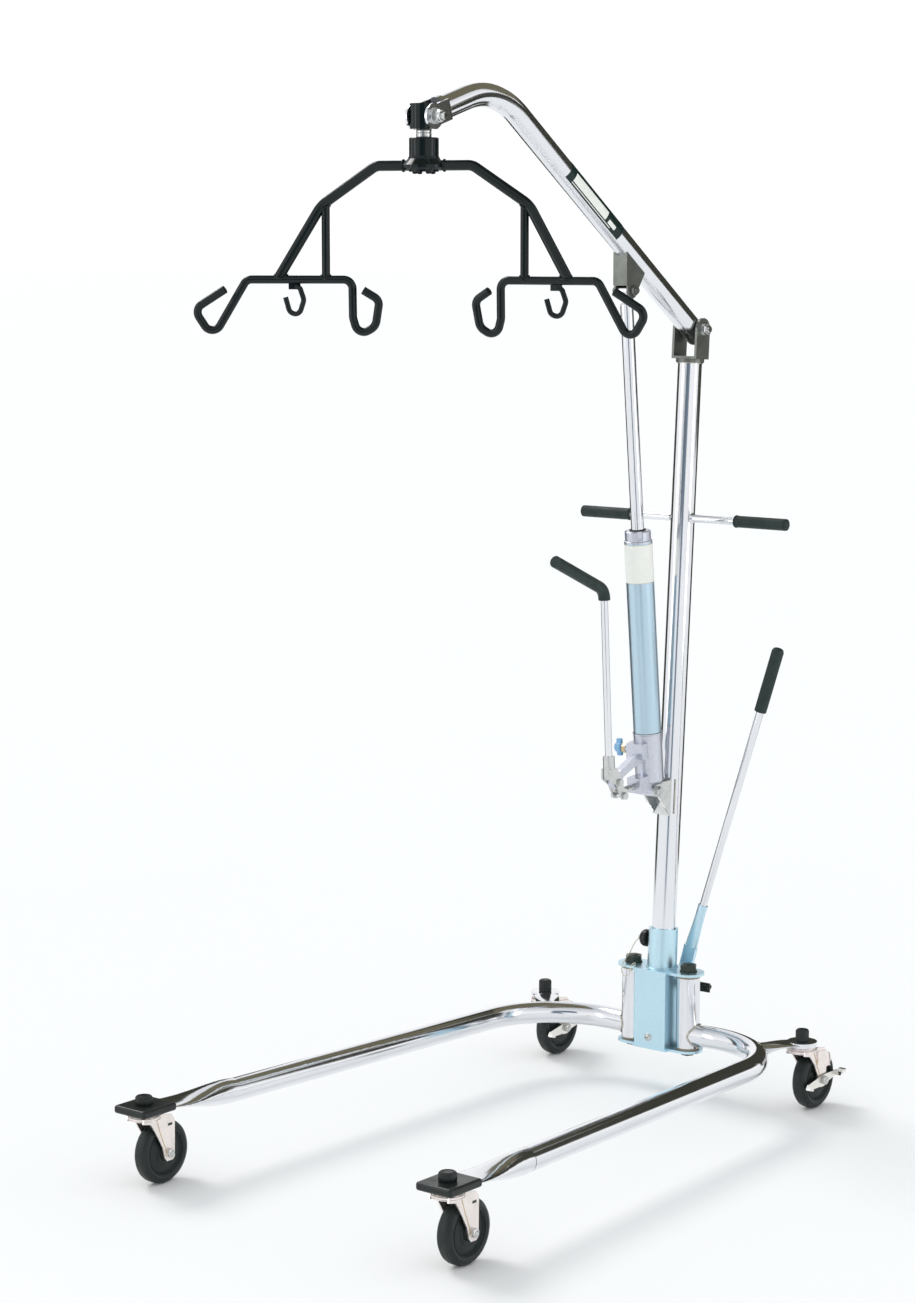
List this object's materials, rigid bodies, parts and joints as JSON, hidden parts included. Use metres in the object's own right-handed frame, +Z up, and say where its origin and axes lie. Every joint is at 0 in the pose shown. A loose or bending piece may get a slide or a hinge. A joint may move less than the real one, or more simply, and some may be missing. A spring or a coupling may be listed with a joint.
{
  "type": "patient lift",
  "caption": "Floor-standing hydraulic sling lift: leaning mast and pump-raised boom with a swivelling hook cradle, on a lever-spread C base with casters.",
  "frame": {"origin": "on the floor, at the middle of the model's footprint box", "axes": "+Z up; -Y is the front, where the legs open and the boom points; +X is the right-hand side as seen from the front"},
  "size_m": [0.69, 1.1156, 1.7008],
  "materials": {
    "chrome_tube": "bright chrome plate",
    "zinc_plate": "bright blue zinc plate",
    "zinc_hardware": "zinc-plated",
    "steel_bracket": "grey satin plate",
    "cast_alloy": "machined casting",
    "black_fastener": "black oxide",
    "black_enamel": "gloss black",
    "vinyl_grip": "matt dipped vinyl",
    "black_plastic": "satin",
    "blue_knob": "gloss",
    "bushing_nylon": "satin",
    "bead_chain": "nickel plate",
    "caster_steel": "zinc-plated pressing",
    "wheel_rubber": "hard rubber",
    "brake_steel": "zinc-plated"
  },
  "bodies": {
    "base": {"base_channel": "zinc_plate", "base_plates": "zinc_plate", "mast_socket": "zinc_plate", "leg_pivot_bolts": "black_fastener", "lever_mount": "zinc_hardware", "knob_chain": "bead_chain"},
    "leg_left": {"leg_tube_left": "chrome_tube", "leg_sleeve_left": "chrome_tube", "leg_bushes_left": "bushing_nylon", "rear_caster_arm_left": "chrome_tube", "front_pad_left": "black_plastic", "caster_stems_left": "black_plastic"},
    "fork_front_left": {"caster_fork_front_left": "caster_steel"},
    "wheel_front_left": {"wheel_front_left": "wheel_rubber"},
    "fork_rear_left": {"caster_fork_rear_left": "caster_steel"},
    "wheel_rear_left": {"wheel_rear_left": "wheel_rubber"},
    "brake_left": {"brake_pedal_rear_left": "brake_steel"},
    "leg_right": {"leg_tube_right": "chrome_tube", "leg_sleeve_right": "chrome_tube", "leg_bushes_right": "bushing_nylon", "rear_caster_arm_right": "chrome_tube", "front_pad_right": "black_plastic", "caster_stems_right": "black_plastic"},
    "fork_front_right": {"caster_fork_front_right": "caster_steel"},
    "wheel_front_right": {"wheel_front_right": "wheel_rubber"},
    "fork_rear_right": {"caster_fork_rear_right": "caster_steel"},
    "wheel_rear_right": {"wheel_rear_right": "wheel_rubber"},
    "brake_right": {"brake_pedal_rear_right": "brake_steel"},
    "mast": {"mast_tube": "chrome_tube", "mast_clevis": "steel_bracket", "boom_pivot_bolt": "zinc_hardware", "handlebar_rod": "chrome_tube", "handlebar_grips": "vinyl_grip", "pump_bracket": "zinc_hardware", "pump_foot_bolt": "zinc_hardware"},
    "boom": {"boom_tube": "chrome_tube", "boom_pump_bracket": "steel_bracket", "boom_tip_clevis": "chrome_tube", "tip_bolt": "zinc_hardware"},
    "pump": {"pump_casting": "cast_alloy", "pump_cylinder": "zinc_plate", "gland_nut": "cast_alloy"},
    "ram": {"piston_rod": "chrome_tube"},
    "pump_handle": {"handle_socket": "zinc_hardware", "handle_rod": "chrome_tube", "handle_grip": "vinyl_grip"},
    "plunger": {"pump_plunger": "zinc_hardware"},
    "release_valve": {"release_valve_knob": "blue_knob"},
    "hanger_block": {"swivel_block": "black_enamel"},
    "cradle": {"hub_housing": "black_enamel", "hub_cover_plate": "black_enamel", "cradle_arm_left": "black_enamel", "cradle_arm_right": "black_enamel", "cradle_hook_bar_left": "black_enamel", "cradle_hook_bar_right": "black_enamel", "cradle_small_hooks": "black_enamel"},
    "lever": {"lever_socket_piece": "zinc_plate", "lever_rod": "chrome_tube", "lever_grip": "vinyl_grip"},
    "clamp_knob": {"mast_clamp_knob": "black_plastic"}
  },
  "joints": [
    {"name": "mast_lift_out", "type": "slide", "parent": "base", "child": "mast", "axis": [0, 0.0633, 0.998], "range_m": [0, 0.06]},
    {"name": "boom_lift", "type": "hinge", "parent": "mast", "child": "boom", "pos_m": [-0.00909, 0.50965, 1.3105], "axis": [1, 0, 0], "range_deg": [0, 60]},
    {"name": "pump_tilt", "type": "hinge", "parent": "mast", "child": "pump", "pos_m": [-0.00909, 0.4001, 0.531], "axis": [1, 0, 0], "range_deg": [-1.6, 0.05]},
    {"name": "ram_slide", "type": "slide", "parent": "pump", "child": "ram", "axis": [0, -0.0963, 0.9954], "range_m": [-0.2025, 0.0005]},
    {"name": "pump_handle_swing", "type": "hinge", "parent": "pump", "child": "pump_handle", "pos_m": [-0.00909, 0.29691, 0.5592], "axis": [1, 0, 0], "range_deg": [0, 60]},
    {"name": "plunger_stroke", "type": "slide", "parent": "pump", "child": "plunger", "axis": [0, 0.9954, 0.0963], "range_m": [-0.0002, 0.0165]},
    {"name": "valve_turn", "type": "hinge", "parent": "pump", "child": "release_valve", "pos_m": [-0.00909, 0.37297, 0.60373], "axis": [-1, 0, 0], "range_deg": [0, 180]},
    {"name": "hanger_tilt", "type": "hinge", "parent": "boom", "child": "hanger_block", "pos_m": [-0.00909, -0.20538, 1.64507], "axis": [1, 0, 0], "range_deg": [-60.1, 0.1]},
    {"name": "cradle_swivel", "type": "hinge", "parent": "hanger_block", "child": "cradle", "pos_m": [-0.00909, -0.20538, 1.64507], "axis": [0, 0, 1], "continuous": true},
    {"name": "leg_spread_right", "type": "hinge", "parent": "base", "child": "leg_right", "pos_m": [0.04841, 0.4371, 0.15], "axis": [0, 0, 1], "range_deg": [0, 11]},
    {"name": "leg_spread_left", "type": "hinge", "parent": "base", "child": "leg_left", "pos_m": [-0.06659, 0.4371, 0.15], "axis": [0, 0, 1], "range_deg": [-11.05, 0.05]},
    {"name": "shift_lever_swing", "type": "hinge", "parent": "base", "child": "lever", "pos_m": [-0.00609, 0.4801, 0.139], "axis": [0, 1, 0], "range_deg": [-35.3, 0.1]},
    {"name": "clamp_knob_turn", "type": "hinge", "parent": "base", "child": "clamp_knob", "pos_m": [-0.00909, 0.44295, 0.25911], "axis": [-1, 0, 0], "range_deg": [0, 270]},
    {"name": "swivel_front_left", "type": "hinge", "parent": "leg_left", "child": "fork_front_left", "pos_m": [-0.31199, -0.5238, 0.1], "axis": [0, 0, 1], "continuous": true},
    {"name": "roll_front_left", "type": "hinge", "parent": "fork_front_left", "child": "wheel_front_left", "pos_m": [-0.31199, -0.4878, 0.0508], "axis": [1, 0, 0], "continuous": true},
    {"name": "swivel_rear_left", "type": "hinge", "parent": "leg_left", "child": "fork_rear_left", "pos_m": [-0.28089, 0.4648, 0.1], "axis": [0, 0, 1], "continuous": true},
    {"name": "roll_rear_left", "type": "hinge", "parent": "fork_rear_left", "child": "wheel_rear_left", "pos_m": [-0.28089, 0.5008, 0.0508], "axis": [1, 0, 0], "continuous": true},
    {"name": "brake_left_press", "type": "hinge", "parent": "fork_rear_left", "child": "brake_left", "pos_m": [-0.28089, 0.5008, 0.0508], "axis": [-1, 0, 0], "range_deg": [0, 12]},
    {"name": "swivel_front_right", "type": "hinge", "parent": "leg_right", "child": "fork_front_right", "pos_m": [0.29381, -0.5238, 0.1], "axis": [0, 0, 1], "continuous": true},
    {"name": "roll_front_right", "type": "hinge", "parent": "fork_front_right", "child": "wheel_front_right", "pos_m": [0.29381, -0.4878, 0.0508], "axis": [1, 0, 0], "continuous": true},
    {"name": "swivel_rear_right", "type": "hinge", "parent": "leg_right", "child": "fork_rear_right", "pos_m": [0.26271, 0.4648, 0.1], "axis": [0, 0, 1], "continuous": true},
    {"name": "roll_rear_right", "type": "hinge", "parent": "fork_rear_right", "child": "wheel_rear_right", "pos_m": [0.26271, 0.5008, 0.0508], "axis": [1, 0, 0], "continuous": true},
    {"name": "brake_right_press", "type": "hinge", "parent": "fork_rear_right", "child": "brake_right", "pos_m": [0.26271, 0.5008, 0.0508], "axis": [-1, 0, 0], "range_deg": [0, 12]}
  ],
  "couplings": [
    {"joint": "pump_tilt", "follows": "boom_lift", "ratio": -0.025894},
    {"joint": "ram_slide", "follows": "boom_lift", "m_per_rad": -0.19306},
    {"joint": "hanger_tilt", "follows": "boom_lift", "ratio": -1},
    {"joint": "leg_spread_left", "follows": "leg_spread_right", "ratio": -1},
    {"joint": "shift_lever_swing", "follows": "leg_spread_right", "ratio": -3.2},
    {"joint": "plunger_stroke", "follows": "pump_handle_swing", "m_per_rad": 0.0155}
  ]
}
